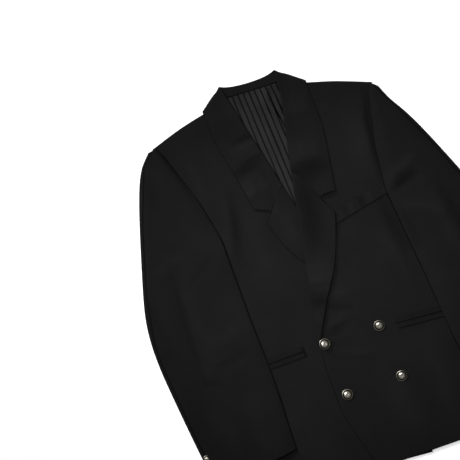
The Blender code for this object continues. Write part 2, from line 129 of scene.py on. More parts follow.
def tailored(name, levels=3):
    """A cloth piece on its solid's form: welded, in four-sided faces, crisp at the wall's edges.
    The weld is in metres and the angles are in degrees."""
    piece = bpy.data.objects.new(name + "_cloth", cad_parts[name].data.copy())
    bpy.context.scene.collection.objects.link(piece)
    bpy.ops.object.select_all(action="DESELECT")
    bpy.context.view_layer.objects.active = piece
    piece.select_set(True)
    bpy.ops.object.mode_set(mode="EDIT")
    bpy.ops.mesh.select_all(action="SELECT")
    bpy.ops.mesh.remove_doubles(threshold=WELD)
    bpy.ops.mesh.tris_convert_to_quads(face_threshold=math.radians(FACE_TURN),
                                       shape_threshold=math.radians(FACE_SKEW))
    bpy.ops.object.mode_set(mode="OBJECT")
    mesh = piece.data
    normals = np.array([face.normal for face in mesh.polygons])
    sides = {}
    for index, face in enumerate(mesh.polygons):
        for key in face.edge_keys:
            sides.setdefault(key, []).append(index)
    crease = mesh.attributes.new("crease_edge", "FLOAT", "EDGE")
    for edge in mesh.edges:
        pair = sides.get(edge.key, [])
        if len(pair) == 2:
            turn = math.degrees(math.acos(np.clip(normals[pair[0]] @ normals[pair[1]], -1, 1)))
            a, b = (mesh.vertices[i].co for i in edge.vertices)
            upright = abs(a.z - b.z) > UPRIGHT * (a - b).length
            if turn > CORNER or (upright and turn > WALL_CORNER):
                crease.data[edge.index].value = 1.0
    smooth = piece.modifiers.new("smooth", "SUBSURF")
    smooth.levels = smooth.render_levels = levels
    bpy.ops.object.modifier_apply(modifier="smooth")
    bpy.ops.mesh.customdata_custom_splitnormals_clear()
    piece.data.shade_smooth()
    piece.data.set_sharp_from_angle(angle=math.radians(SHARP))
    edged(piece)
    return piece


def points_of(piece):
    """A piece's points in metres, a row for each."""
    flat = np.empty(len(piece.data.vertices) * 3)
    piece.data.vertices.foreach_get("co", flat)
    return flat.reshape(-1, 3)


def edged(piece):
    """Marks how far each point of the cloth is from its outline, where the edge is pressed sharp; the
    wool's colour takes painted shade towards it.
    """
    points = points_of(piece)
    sharp = piece.data.attributes["sharp_edge"]
    ends = {i for edge in piece.data.edges if sharp.data[edge.index].value for i in edge.vertices}
    tree = KDTree(len(ends))
    for index in ends:
        tree.insert(points[index], index)
    tree.balance()
    rim = piece.data.attributes.new("rim", "FLOAT", "POINT")
    rim.data.foreach_set("value", np.array([tree.find(point)[2] for point in points]))


PAINTED_FOLD_SHADE_PER_METRE = 75


def paint_fold_shade(piece, lines):
    """Marks painted shade for the troughs of the folds and painted light for their ridges, by the folds'
    heights.
    """
    out, down = plan_of(points_of(piece))
    # The attribute named nap carries the painted shade and painted light of the folds.
    nap = piece.data.attributes.new("nap", "FLOAT", "POINT")
    nap.data.foreach_set("value", folds(out, down, lines) * PAINTED_FOLD_SHADE_PER_METRE)


NO_SEAM = 0.05


def seams_and_shade_lines(piece, *lines):
    """Marks up to three dark lines, sewn joins or lines of painted shade: how far each point of the
    cloth is from each, in metres.
    """
    out, down = plan_of(points_of(piece))
    away = np.full((len(out), 3), NO_SEAM)
    for index, line in enumerate(lines):
        away[:, index] = measured(out, down, line)[0] * CM
    marks = piece.data.attributes.new("seam", "FLOAT_VECTOR", "POINT")
    marks.data.foreach_set("vector", away.ravel())


def sewn_in(piece, node_name, finish):
    piece.data.materials.clear()
    piece.data.materials.append(finish)
    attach(piece, "root")
    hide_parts(node_name)


def per(size):
    """A noise texture's scale, where its grain has a real size in millimetres."""
    return 1000 / size


WAVE = 0.314
YARN = 0.6667
NAP_TUFT = 8.333
WORN_PATCH = 71.43


def wool(name, shade, worn, twill, sheen, gloss, rough):
    """Black wool suiting, woven as a fine twill and pressed: dull, with a faint nap. The lines of
    such a twill lie about 0.5 mm apart. They are drawn wider, by the twill's width in mm, to show.
    A wave texture's scale is WAVE over the width of one wave in metres."""
    made = bpy.data.materials.new(name)
    made.use_nodes = True
    tree = made.node_tree
    shader = tree.nodes["Principled BSDF"]
    spot = node(tree, "TexCoord").outputs["Object"]
    turned = node(tree, "Mapping", {"Rotation": (0, 0, math.radians(38))}, {"Vector": spot})
    cords = node(tree, "TexWave", {"Scale": WAVE / (twill * 0.001), "Distortion": 1.2, "Detail": 1.0,
                                   "Detail Scale": 2.0}, {"Vector": turned.outputs["Vector"]})
    yarn = node(tree, "TexNoise", {"Scale": per(YARN), "Detail": 2.0}, {"Vector": spot})
    nap = node(tree, "TexNoise", {"Scale": per(NAP_TUFT), "Detail": 4.0, "Roughness": 0.65},
               {"Vector": spot})
    patch = node(tree, "TexNoise", {"Scale": per(WORN_PATCH), "Detail": 3.0}, {"Vector": spot})
    mixed = node(tree, "Math", {"operation": "MULTIPLY_ADD", 1: 0.5},
                 {0: nap.outputs["Fac"], 2: patch.outputs["Fac"]})
    toned = node(tree, "MapRange", {"From Min": 0.5, "From Max": 1.0}, {"Value": mixed.outputs["Value"]})
    # The attribute named nap darkens the colour in fold troughs and lightens it on ridges: painted shade
    # and painted light.
    fold_shade_mark = node(tree, "Attribute", {"attribute_name": "nap"}).outputs["Fac"]
    painted_fold_shade = node(tree, "MapRange", {"From Min": -0.5, "From Max": 0.5, "To Min": 0.5, "To Max": 1.5},
               {"Value": fold_shade_mark})
    ground = node(tree, "Mix", {"data_type": "RGBA", 6: linear(shade), 7: linear(worn)},
                  {0: toned.outputs["Result"]})
    threads = node(tree, "MapRange", {"To Min": 0.82, "To Max": 1.12}, {"Value": cords.outputs["Fac"]})
    # The seam attribute draws dark lines: real sewn joins, and painted shadow beside a sleeve's edge and
    # along its crease.
    seam = node(tree, "Attribute", {"attribute_name": "seam"}).outputs["Vector"]
    apart = node(tree, "VectorMath", {"operation": "ABSOLUTE"}, {0: seam})
    parts = node(tree, "SeparateXYZ", {}, {"Vector": apart.outputs["Vector"]})
    least = node(tree, "Math", {"operation": "MINIMUM"}, {0: parts.outputs["X"], 1: parts.outputs["Y"]})
    least = node(tree, "Math", {"operation": "MINIMUM"},
                 {0: least.outputs["Value"], 1: parts.outputs["Z"]})
    # Painted shade darkens the cloth towards each sharp edge of a piece.
    rim = node(tree, "Attribute", {"attribute_name": "rim"}).outputs["Fac"]
    edge_shade_reach = node(tree, "Math", {"operation": "MULTIPLY_ADD", 1: 0.8, 2: 0.0001}, {0: rim})
    least = node(tree, "Math", {"operation": "MINIMUM"},
                 {0: least.outputs["Value"], 1: edge_shade_reach.outputs["Value"]})
    seam_and_shade_line = node(tree, "MapRange", {"interpolation_type": "SMOOTHSTEP", "From Max": 0.0019},
                  {"Value": least.outputs["Value"]})
    # The colour is darkened to 0.3 at those lines and edges: dark joins, and painted shade everywhere
    # else.
    dark = node(tree, "MapRange", {"To Min": 0.3}, {"Value": seam_and_shade_line.outputs["Result"]})
    shaded = node(tree, "Math", {"operation": "MULTIPLY"},
                  {0: threads.outputs["Result"], 1: dark.outputs["Result"]})
    shaded = node(tree, "Math", {"operation": "MULTIPLY"},
                  {0: shaded.outputs["Value"], 1: painted_fold_shade.outputs["Result"]})
    colour = node(tree, "VectorMath", {"operation": "SCALE"},
                  {0: ground.outputs[2], "Scale": shaded.outputs["Value"]})
    pressed = node(tree, "Bump", {"Strength": 0.6, "Distance": 0.0012},
                   {"Height": seam_and_shade_line.outputs["Result"]})
    fuzz = node(tree, "Bump", {"Strength": 0.35, "Distance": 0.0006},
                {"Height": nap.outputs["Fac"], "Normal": pressed.outputs["Normal"]})
    woven = node(tree, "Bump", {"Strength": 0.5, "Distance": 0.00018},
                 {"Height": cords.outputs["Fac"], "Normal": fuzz.outputs["Normal"]})
    hairs = node(tree, "Bump", {"Strength": 0.35, "Distance": 0.00012},
                 {"Height": yarn.outputs["Fac"], "Normal": woven.outputs["Normal"]})
    tree.links.new(colour.outputs["Vector"], shader.inputs["Base Color"])
    tree.links.new(hairs.outputs["Normal"], shader.inputs["Normal"])
    shader.inputs["Roughness"].default_value = rough
    shader.inputs["Specular IOR Level"].default_value = gloss
    shader.inputs["Sheen Weight"].default_value = sheen
    shader.inputs["Sheen Roughness"].default_value = 0.45
    shader.inputs["Sheen Tint"].default_value = linear("#8c8c8c")
    return made


black_wool = wool("black_wool_twill", shade="#131313", worn="#161616", twill=0.9, sheen=0.015,
                  gloss=0.02, rough=0.85)
CENTRE_SEAM = [(0.4, -10), (0.4, 90)]
SIDE_SEAM = [(19.6, 20), (18.6, 34), (17.8, 48), (19.0, 66), (19.8, 90)]
for hand, side in (("right", -1), ("left", 1)):
    half = tailored(f"back_{hand}")
    paint_fold_shade(half, [])
    seams_and_shade_lines(half, [(side * x, y) for x, y in CENTRE_SEAM], [(side * x, y) for x, y in SIDE_SEAM])
    sewn_in(half, f"back_{hand}", black_wool)

# The body's soft shape: the fronts rest on the back and on each other, so one field lifts all
# that lies on the back together, and no piece cuts the next. Its folds were set by the wearing,
# by the way the jacket was laid down, and by the closed buttons.
BODY_FOLDS = [
    ([(-11.5, 10.0), (-11.0, 20.0), (-10.0, 32.0), (-9.5, 46.0)], (5.0, 5.5), 3.0),
    ([(9.0, 12.0), (11.5, 21.0), (11.5, 32.0), (10.0, 46.0)], (5.5, 4.5), 3.0),
    ([(-11.2, 19.0), (-11.6, 22.6), (-12.7, 26.8), (-14.3, 31.3), (-15.8, 35.5)], (0.7, 1.1), -2.2),
    ([(-13.2, 19.0), (-13.6, 23.6), (-15.0, 28.6), (-16.4, 33.0)], (1.2, 0.9), 0.9),
    ([(-9.2, 24.0), (-9.8, 33.0), (-11.4, 44.0)], (1.6, 2.4), 1.4),
    ([(19.4, 8.4), (17.2, 14.0), (16.3, 19.0), (15.4, 26.0)], (3.4, 1.2), 3.4),
    ([(20.6, 8.2), (19.2, 14.0), (18.4, 19.5), (17.9, 24.0), (16.9, 28.4)], (1.3, 0.8), -2.5),
    ([(15.3, 27.0), (15.2, 33.0), (15.9, 41.0)], (0.9, 1.3), -2.2),
    ([(12.9, 32.5), (13.3, 38.0), (14.4, 47.0)], (1.5, 1.1), 1.5),
    ([(-4.6, 44.9), (-1.5, 46.2), (2.4, 47.5)], (0.9, 0.5), -2.4),
    ([(-4.0, 43.2), (-0.8, 44.2), (3.4, 45.2)], (0.8, 1.4), 1.2),
    ([(-5.6, 51.6), (-3.2, 51.0), (-0.4, 50.2)], (0.8, 0.45), -1.5),
    ([(-5.2, 49.9), (-2.6, 49.6), (0.8, 48.8)], (0.7, 1.1), 1.4),
    ([(-4.7, 54.6), (0.4, 56.4), (4.2, 57.3)], (0.9, 0.7), 1.1),
    ([(-4.9, 64.6), (-2.4, 64.4), (0.6, 63.4)], (0.6, 0.8), -1.0),
    ([(3.0, 58.0), (4.8, 66.0), (4.2, 79.0)], (2.5, 1.8), 1.6),
    ([(12.0, 55.5), (12.8, 66.0), (11.5, 80.0)], (2.2, 2.8), 1.9),
    ([(-13.0, 55.5), (-13.6, 66.0), (-12.8, 80.0)], (2.8, 2.2), 1.8),
    ([(-17.5, 58.0), (-17.0, 68.0), (-17.6, 79.0)], (1.2, 1.6), 1.2),
    ([(-17.4, 9.5), (-16.0, 14.0), (-15.9, 19.0), (-16.3, 24.0)], (1.3, 1.2), 1.6),
]
SOFTNESS = 0.0004
RIPPLE = 0.00035
RIPPLE_RUNS = [(2.9, 6.1, 0.0), (4.7, -5.3, 1.7)]
BODY_EDGE = (18.5, 23.0)
NECK = (2.0, 6.0)
HEM = (74.0, 78.5)
HELD_AT_HEM = 0.75


def step(value, low, high):
    """Eases from 0 at the low value to 1 at the high one."""
    t = np.clip((value - low) / (high - low), 0, 1)
    return t * t * (3 - 2 * t)


def above(height):
    """Keeps a height above nothing, so that a trough bottoms out softly on what lies below."""
    return np.log1p(np.exp(height / SOFTNESS)) * SOFTNESS


def body_lift(out, down):
    """How far the body's cloth is lifted at a garment point, in metres. A ripple's run is the
    distance across and down over which it turns by one radian, and the angle it starts from."""
    soft = folds(out, down, BODY_FOLDS)
    for across, along, start in RIPPLE_RUNS:
        soft += RIPPLE * (1 + np.sin(out / across + down / along + start))
    inside = 1 - step(np.abs(out), *BODY_EDGE)
    return above(soft) * inside * step(down, *NECK) * (1 - HELD_AT_HEM * step(down, *HEM))


# The lining inside the back neck: striped grey satin, cut with a little spare width that lies
# in a narrow pleat right of the middle. Its stripes run down each half a little askew.
STRIPE_EVERY = 1.09
LEFT_START = 0.50
RIGHT_START = 0.36
RIGHT_SLANT = 0.04
SLANTS_FROM = 6.4
PLEAT_WIDE = 0.1
PLEAT = [(3.4, 0.6), (3.1, 2.9), (2.4, 5.1), (2.5, 6.4), (2.9, 8.8), (3.1, 11.4), (3.8, 14.5)]
LINING_FOLDS = [
    (PLEAT, (0.9, 0.18), 3.6),
    ([(4.6, 0.6), (4.3, 2.8), (3.7, 5.5), (3.6, 8.2), (4.2, 12.0)], (0.35, 0.15), 2.4),
    ([(2.1, 1.2), (1.5, 5.2), (1.9, 7.6)], (0.5, 0.2), 0.7),
    ([(-0.6, 3.0), (-0.2, 9.0), (0.3, 18.0)], (1.2, 0.6), 0.5),
    ([(-3.0, 3.0), (-2.4, 10.0), (-1.0, 20.0)], (0.7, 0.6), 0.35),
]
STRIPE_WANDER = 28.57
SATIN_PATCH = 45.45
SATIN_THREAD = 1.111


def satin(name):
    """Viscose satin, woven with thin dark stripes: smooth, with a soft gleam. Its threads are
    finer than they are drawn."""
    made = bpy.data.materials.new(name)
    made.use_nodes = True
    tree = made.node_tree
    shader = tree.nodes["Principled BSDF"]
    spot = node(tree, "TexCoord").outputs["Object"]
    across = node(tree, "Attribute", {"attribute_name": "stripe"}).outputs["Fac"]
    wander = node(tree, "TexNoise", {"Scale": per(STRIPE_WANDER), "Detail": 2.0}, {"Vector": spot})
    moved = node(tree, "Math", {"operation": "MULTIPLY_ADD", 1: 0.16},
                 {0: wander.outputs["Fac"], 2: across})
    cycle = node(tree, "Math", {"operation": "PINGPONG", 1: 0.5}, {0: moved.outputs["Value"]})
    line = node(tree, "MapRange",
                {"interpolation_type": "SMOOTHSTEP", "From Min": 0.07, "From Max": 0.20},
                {"Value": cycle.outputs["Value"]})
    tone = node(tree, "TexNoise", {"Scale": per(SATIN_PATCH), "Detail": 3.0}, {"Vector": spot})
    ground = node(tree, "Mix", {"data_type": "RGBA", 6: linear("#161616"), 7: linear("#242424")},
                  {0: tone.outputs["Fac"]})
    striped = node(tree, "Mix", {"data_type": "RGBA", 6: linear("#030303")},
                   {0: line.outputs["Result"], 7: ground.outputs[2]})
    drawn = node(tree, "Mapping", {"Scale": (1, 0.12, 1)}, {"Vector": spot})
    floats = node(tree, "TexNoise", {"Scale": per(SATIN_THREAD), "Detail": 1.0},
                  {"Vector": drawn.outputs[0]})
    ripple = node(tree, "Bump", {"Strength": 0.3, "Distance": 0.002}, {"Height": tone.outputs["Fac"]})
    thread = node(tree, "Bump", {"Strength": 0.25, "Distance": 0.0001},
                  {"Height": floats.outputs["Fac"], "Normal": ripple.outputs["Normal"]})
    tree.links.new(striped.outputs[2], shader.inputs["Base Color"])
    tree.links.new(thread.outputs["Normal"], shader.inputs["Normal"])
    shader.inputs["Roughness"].default_value = 0.5
    shader.inputs["Specular IOR Level"].default_value = 0.03
    return made


def raised(piece, lift):
    """Moves each point of a cloth piece up by its own amount."""
    points = points_of(piece)
    points[:, 2] += lift
    piece.data.vertices.foreach_set("co", points.ravel())
    piece.data.update()


def place_of(out, down):
    """A garment point as a place on the table, in metres."""
    x = CENTRE_LINE[0] + CM * out * math.cos(ASKEW)
    return x, CENTRE_LINE[1] - CM * down - CM * out * math.sin(ASKEW)


DRAWN_WITHIN = 0.35
SHADE_CLEARED_WITHIN = 0.5
SHADE_CLEARED_BY = 0.01


def edge_unshaded(piece, line, gap=0.0):
    """Takes the painted edge shade off along a line, and draws the edge in to its seam where it meets
    the next piece.
    """
    points = points_of(piece)
    out, down = plan_of(points)
    away = measured(out, down, line)[0]
    (x0, y0), (x1, y1) = line[0], line[-1]
    length = math.hypot(x1 - x0, y1 - y0)
    near = np.exp(-(away / DRAWN_WITHIN) ** 2) * np.where(away < 0, 1, -1) * gap
    out, down = out + near * (y1 - y0) / length, down - near * (x1 - x0) / length
    points[:, 0], points[:, 1] = place_of(out, down)
    piece.data.vertices.foreach_set("co", points.ravel())
    rim = np.empty(len(points))
    piece.data.attributes["rim"].data.foreach_get("value", rim)
    rim += SHADE_CLEARED_BY * np.exp(-(away / SHADE_CLEARED_WITHIN) ** 4)
    piece.data.attributes["rim"].data.foreach_set("value", rim)


STAND_SEAM = [(-4.8, 2.2), (5.4, 2.2)]
STAND_GAP = 0.06
lining = tailored("neck_lining", 4)
out, down = plan_of(points_of(lining))
left_run = out + LEFT_START
right_run = out + RIGHT_START - RIGHT_SLANT * (down - SLANTS_FROM)
pleat_out, pleat_down = np.array(PLEAT).T
share = step(out - np.interp(down, pleat_down, pleat_out), -PLEAT_WIDE, PLEAT_WIDE)
stripe = lining.data.attributes.new("stripe", "FLOAT", "POINT")
stripe.data.foreach_set("value", (left_run * (1 - share) + right_run * share) / STRIPE_EVERY)
raised(lining, body_lift(out, down) + folds(out, down, LINING_FOLDS))
edge_unshaded(lining, STAND_SEAM, STAND_GAP)
seams_and_shade_lines(lining)
sewn_in(lining, "neck_lining", satin("striped_satin_lining"))

# The fronts: each one piece of the black twill, faced and fused, lying over the back. The right
# one lies under, and the left one laps over it as far as the row of buttons. A sleeve's inner
# edge runs down each, and painted shadow follows it on the front as a dark line with a slight dip, also
# where the armhole's seam shows.
SLEEVE_IN = [(21.3, 7.75), (20.4, 9.6), (18.9, 15.4), (17.4, 21.2), (16.4, 28.3), (16.6, 31.5),
             (17.2, 45.0), (17.7, 59.6), (18.6, 70.3)]
SLEEVE_SHADOW_INSET = 0.18


def laid_front(hand, side, seam_and_shade_line):
    """One front over what lies below it, with painted shadow as a dark line beside its sleeve's sharp
    edge.
    """
    front = tailored(f"front_{hand}")
    out, down = plan_of(points_of(front))
    raised(front, body_lift(out, down))
    # Painted shade in the troughs and painted light on the ridges of the body's creases.
    paint_fold_shade(front, BODY_FOLDS[2:])
    # A dark line of painted shadow on the front, just inside the sleeve's edge.
    seams_and_shade_lines(front, [(side * (x - SLEEVE_SHADOW_INSET), y) for x, y in seam_and_shade_line])
    sewn_in(front, f"front_{hand}", black_wool)


laid_front("right", -1, SLEEVE_IN)

# The lapels: the facing turned back along its roll, of the same wool pressed smoother. The right
# one lies under the closed front. The gorge is the seam where each meets the collar.
lapel_wool = wool("pressed_lapel_wool", shade="#121212", worn="#151515", twill=0.8, sheen=0.015,
                  gloss=0.02, rough=0.75)
GORGE = {"right": [(-1.33, 21.17), (-5.12, 25.08)], "left": [(0.87, 18.82), (4.14, 25.52)]}
GORGE_GAP = 0.05
GORGE_WIDE = 0.6
LAPEL_AT_GORGE = 0.0011
RIGHT_LAPEL_RISE = 0.0010
LAPEL_FOLDS = {
    "right": [
        ([(-5.5, 23.0), (-3.2, 29.0), (-1.4, 36.0)], (2.4, 1.6), 1.6),
    ],
    "left": [
        ([(1.9, 19.5), (-0.5, 25.0), (-2.0, 31.0), (-3.2, 37.0)], (1.2, 4.2), 5.2),
        ([(-4.6, 37.9), (-1.4, 39.0), (2.8, 39.7)], (4.2, 2.2), 2.7),
        ([(-6.0, 40.6), (-3.2, 40.9), (0.4, 41.6)], (0.5, 1.6), 1.1),
        ([(-8.0, 43.6), (-4.4, 44.2), (-0.6, 45.0)], (1.0, 1.2), -3.2),
        ([(2.4, 19.6), (2.2, 25.0), (1.2, 30.5), (0.2, 36.0)], (2.0, 2.2), -3.0),
        ([(-5.4, 44.6), (-4.2, 45.4), (-1.6, 46.2)], (0.8, 0.8), -1.0),
        ([(-6.0, 47.6), (-4.9, 48.2), (-3.2, 48.6)], (0.9, 0.9), 1.0),
    ],
}


def level_with(own, out, down, line, height):
    """Brings a piece's own height to that of its seam, where the collar joins a lapel."""
    meets = np.exp(-(measured(out, down, line)[0] / GORGE_WIDE) ** 2)
    return own * (1 - meets) + height * meets


right_lapel = tailored("lapel_right")
out, down = plan_of(points_of(right_lapel))
own = folds(out, down, LAPEL_FOLDS["right"])
own = level_with(above(own + RIGHT_LAPEL_RISE), out, down, GORGE["right"], LAPEL_AT_GORGE)
raised(right_lapel, body_lift(out, down) + own)
# Painted shade and painted light follow the lapel's fold.
paint_fold_shade(right_lapel, LAPEL_FOLDS["right"])
edge_unshaded(right_lapel, GORGE["right"], GORGE_GAP)
seams_and_shade_lines(right_lapel)
sewn_in(right_lapel, "lapel_right", lapel_wool)

# The left front closes over the right one and its lapel. Its armhole lies in a soft fold at the
# top, so the painted shadow line starts below that.
laid_front("left", 1, SLEEVE_IN[4:])

# The breast welt: a strip of the cloth folded double and sewn over the mouth of the pocket in
# the left front, its ends stitched down.
WELT_FOLDS = [
    ([(5.6, 27.9), (6.1, 31.8)], (0.7, 0.5), 1.1),
    ([(7.4, 27.5), (7.8, 31.7)], (0.5, 0.4), -1.7),
    ([(9.3, 26.6), (9.0, 31.4)], (0.5, 0.5), 1.4),
    ([(10.7, 26.4), (11.3, 30.9)], (0.6, 0.8), -2.6),
    ([(13.0, 26.0), (13.4, 30.4)], (0.7, 0.7), 1.0),
]
WELT_EDGE_SHADE_OFF = 0.0009
WELT_HELD = 0.0002
EDGE_SHADE_NARROWER = 1.3


def edge_shade_lessened(piece, least):
    """Lightens and narrows the painted shade at the edges of a narrow piece, where it would otherwise
    meet across it.
    """
    rim = np.empty(len(piece.data.vertices))
    piece.data.attributes["rim"].data.foreach_get("value", rim)
    piece.data.attributes["rim"].data.foreach_set("value", EDGE_SHADE_NARROWER * rim + least)


welt = tailored("breast_welt")
out, down = plan_of(points_of(welt))
edge_shade_lessened(welt, WELT_EDGE_SHADE_OFF)
raised(welt, body_lift(out, down) + above(folds(out, down, WELT_FOLDS) - WELT_HELD))
# Painted shade and painted light follow the welt's folds.
paint_fold_shade(welt, WELT_FOLDS)
seams_and_shade_lines(welt)
sewn_in(welt, "breast_welt", black_wool)

# The left lapel: the same pressed facing, turned back on top of the closed front. It bends softly
# where it nears the break, and stands off the front a little more from there down.
LEFT_LAPEL_EDGE = [(5.5, 26.4), (4.5, 30.6), (2.8, 35.1), (1.4, 38.1), (0.0, 40.5)]
LEFT_LAPEL_RISE = 0.0011
STANDS_OFF = 0.0013
STANDS_OFF_FROM = (24.0, 29.0)
left_lapel = tailored("lapel_left")
out, down = plan_of(points_of(left_lapel))
own = folds(out, down, LAPEL_FOLDS["left"])
own = above(own + LEFT_LAPEL_RISE) + STANDS_OFF * step(down, *STANDS_OFF_FROM)
raised(left_lapel, body_lift(out, down) + level_with(own, out, down, GORGE["left"], LAPEL_AT_GORGE))
# Painted shade and painted light follow the lapel's folds.
paint_fold_shade(left_lapel, LAPEL_FOLDS["left"][1:])
edge_unshaded(left_lapel, GORGE["left"], GORGE_GAP)
# The painted edge shade is taken off along the lapel's lower outer edge.
edge_unshaded(left_lapel, LEFT_LAPEL_EDGE)
seams_and_shade_lines(left_lapel)
sewn_in(left_lapel, "lapel_left", lapel_wool)

# The collar: an undercollar and top collar of the lapel cloth, folded over a stand. Its leaf lies
# on the shoulders and lapels, and it creases softly where it bends round the neck.
COLLAR_FOLDS = [
    ([(-7.4, 11.4), (-4.6, 10.7), (-1.4, 10.6)], (0.7, 0.5), -3.2),
    ([(-8.6, 12.9), (-5.6, 12.4), (-2.0, 12.2)], (2.6, 0.9), 2.0),
    ([(-9.8, 18.0), (-7.6, 16.6), (-5.0, 15.5), (-2.6, 14.9)], (1.5, 0.6), -3.5),
    ([(-10.2, 22.2), (-7.0, 21.2), (-3.6, 20.2)], (1.2, 3.2), 2.6),
    ([(-6.9, 22.6), (-5.9, 21.0), (-5.4, 18.6)], (0.7, 0.7), -0.9),
    ([(1.0, 17.6), (4.4, 16.8), (8.2, 17.2)], (1.6, 2.6), 2.4),
    ([(-1.8, 20.0), (3.2, 19.2), (9.4, 19.5)], (3.4, 0.7), -4.2),
    ([(2.6, 21.4), (5.4, 22.0), (8.6, 22.0)], (2.8, 0.9), 0.6),
    ([(4.2, 8.2), (7.0, 8.8), (10.2, 8.4)], (1.0, 2.0), 1.4),
]
LEAF_EDGE = [(10.2, 5.1), (10.1, 12.1), (8.9, 19.5), (7.6, 24.8)]
LEAF_THINS_OVER = 0.9
LEAF_RISE = 0.0014
LEAF_THINNED = 0.0004
STAND_TO_LEAF = (0.002, 0.0045)
LEAF_FREE_FROM = (4.0, 7.0)
COLLAR_AT_GORGE = {"right": 0.0016, "left": 0.0021}
collar = tailored("collar")
out, down = plan_of(points_of(collar))
top = step(points_of(collar)[:, 2], *STAND_TO_LEAF)
thin = np.exp(-(measured(out, down, LEAF_EDGE)[0] / LEAF_THINS_OVER) ** 2)
own = above(folds(out, down, COLLAR_FOLDS) + LEAF_RISE) * (1 - thin) - LEAF_THINNED * thin
for hand, height in COLLAR_AT_GORGE.items():
    own = level_with(own, out, down, GORGE[hand], height)
raised(collar, body_lift(out, down) + own * top * step(down, *LEAF_FREE_FROM))
# Painted shade and painted light follow the collar's creases.
paint_fold_shade(collar, COLLAR_FOLDS)
# The painted edge shade is taken off along the leaf's outer edge.
edge_unshaded(collar, LEAF_EDGE)
edge_unshaded(collar, STAND_SEAM, STAND_GAP)
for line in GORGE.values():
    edge_unshaded(collar, line, GORGE_GAP)
seams_and_shade_lines(collar)
sewn_in(collar, "collar", lapel_wool)

# The hip pockets: each mouth is a slit between two narrow jets of the cloth, folded and sewn
# flat to the front. The jets carry painted shade along each mouth, and a lighter painted edge shade.
JET_EDGE_SHADE_OFF = 0.0006
JET_RISE = 0.0002
POCKET_MOUTH_SHADE = [
    ([(-27.0, 53.6), (-6.5, 52.9)], (1.3, 1.3), -1.6),
    ([(5.0, 52.8), (27.0, 53.6)], (1.3, 1.3), -1.6),
]
for hand in ("right", "left"):
    for level in ("upper", "lower"):
        jet = tailored(f"hip_jet_{hand}_{level}")
        out, down = plan_of(points_of(jet))
        edge_shade_lessened(jet, JET_EDGE_SHADE_OFF)
        raised(jet, body_lift(out, down) + JET_RISE)
        # Painted shade along each pocket's mouth.
        paint_fold_shade(jet, POCKET_MOUTH_SHADE)
        seams_and_shade_lines(jet)
        sewn_in(jet, f"hip_jet_{hand}_{level}", black_wool)

# The sleeves: a wide top sleeve that folds round its outer edge and under, and an under sleeve
# between it and the body. The head stands proud of the armhole, and the tube stays a little full.
SLEEVE_OUT = {
    "right": [(22.8, 8.0), (25.3, 10.6), (29.7, 20.8), (34.1, 33.4), (36.4, 43.3), (36.6, 48.0),
              (36.1, 61.5), (35.3, 72.9)],
    "left": [(22.6, 8.6), (24.8, 13.3), (28.4, 21.5), (32.9, 34.0), (35.2, 43.5), (35.5, 48.0),
             (35.1, 62.0), (34.5, 72.7)],
}
SLEEVE_FOLDS = {
    "right": [
        ([(-27.0, 28.5), (-27.4, 31.2), (-28.0, 36.5), (-29.0, 46.5), (-29.6, 55.0)], (0.6, 0.5), -1.3),
        ([(-24.8, 29.0), (-25.6, 35.0), (-26.6, 43.0), (-27.2, 53.0)], (1.6, 1.6), 1.0),
        ([(-31.4, 52.6), (-28.8, 53.8), (-25.6, 54.6)], (0.6, 0.9), -0.9),
        ([(-31.5, 22.0), (-33.5, 36.0), (-33.4, 52.0), (-31.5, 76.0)], (4.0, 4.6), -1.1),
        ([(-31.0, 30.0), (-31.6, 38.0), (-31.4, 48.0)], (1.4, 1.6), 1.3),
        ([(-31.5, 31.8), (-27.0, 29.2), (-23.0, 29.4)], (1.4, 1.0), 1.3),
        ([(-17.0, 30.4), (-21.0, 31.5), (-25.0, 34.6)], (0.8, 1.2), -1.0),
        ([(-17.6, 44.0), (-22.0, 46.0), (-27.0, 47.0)], (1.2, 1.5), 1.0),
        ([(-19.0, 49.0), (-23.0, 50.6), (-27.5, 51.0)], (0.7, 1.0), -1.0),
        ([(-24.6, 9.8), (-22.8, 12.8), (-21.8, 17.0)], (1.1, 0.9), 1.0),
        ([(-30.5, 58.0), (-28.6, 64.0), (-28.2, 71.0)], (1.8, 1.3), 1.0),
        ([(-22.4, 57.0), (-23.4, 64.0), (-23.0, 71.0)], (1.4, 1.8), 1.2),
    ],
    "left": [
        ([(16.2, 28.8), (19.3, 27.9), (23.8, 26.6)], (0.7, 0.9), -3.0),
        ([(16.6, 26.4), (19.6, 25.4), (24.6, 23.4)], (0.9, 1.3), 2.2),
        ([(16.6, 30.5), (17.6, 35.0), (17.8, 41.0)], (0.6, 1.2), -1.4),
        ([(17.0, 31.4), (21.0, 32.8), (25.4, 36.0)], (1.0, 1.3), 1.6),
        ([(26.0, 28.0), (27.0, 35.0), (28.0, 44.0), (28.2, 53.0)], (1.4, 1.0), -1.8),
        ([(23.8, 30.0), (25.0, 38.0), (25.6, 49.0)], (1.4, 1.4), 1.3),
        ([(18.2, 46.0), (22.0, 47.6), (27.0, 48.0)], (1.1, 1.4), 1.0),
        ([(29.6, 56.0), (28.2, 63.0), (27.8, 71.0)], (1.8, 1.4), 1.1),
        ([(22.0, 58.0), (22.8, 65.0), (22.6, 71.0)], (1.4, 1.7), 1.2),
    ],
}
FULLNESS = 0.0050
FULLER_AT_HEAD = 0.0015
WAVES_DOWN = 0.0012
WAVE_RUN = 9.0
HEAD = (10.0, 24.0)
HEAD_ROUNDNESS = {"right": 6.0, "left": 2.8}
LOWER_ROUNDNESS = 6.0
ROUNDNESS_OVER = (16.0, 32.0)
UNDER_TO_TOP = (0.0016, 0.0034)
BY_THE_BODY = (0.02, 0.2)
SOFT_ARMHOLE = {"right": 3, "left": 5}
ARMHOLE_OUTSET = 0.6
CREASE_SHADE_INSET = 0.7
PAST_CUFF = (34.7, 90)
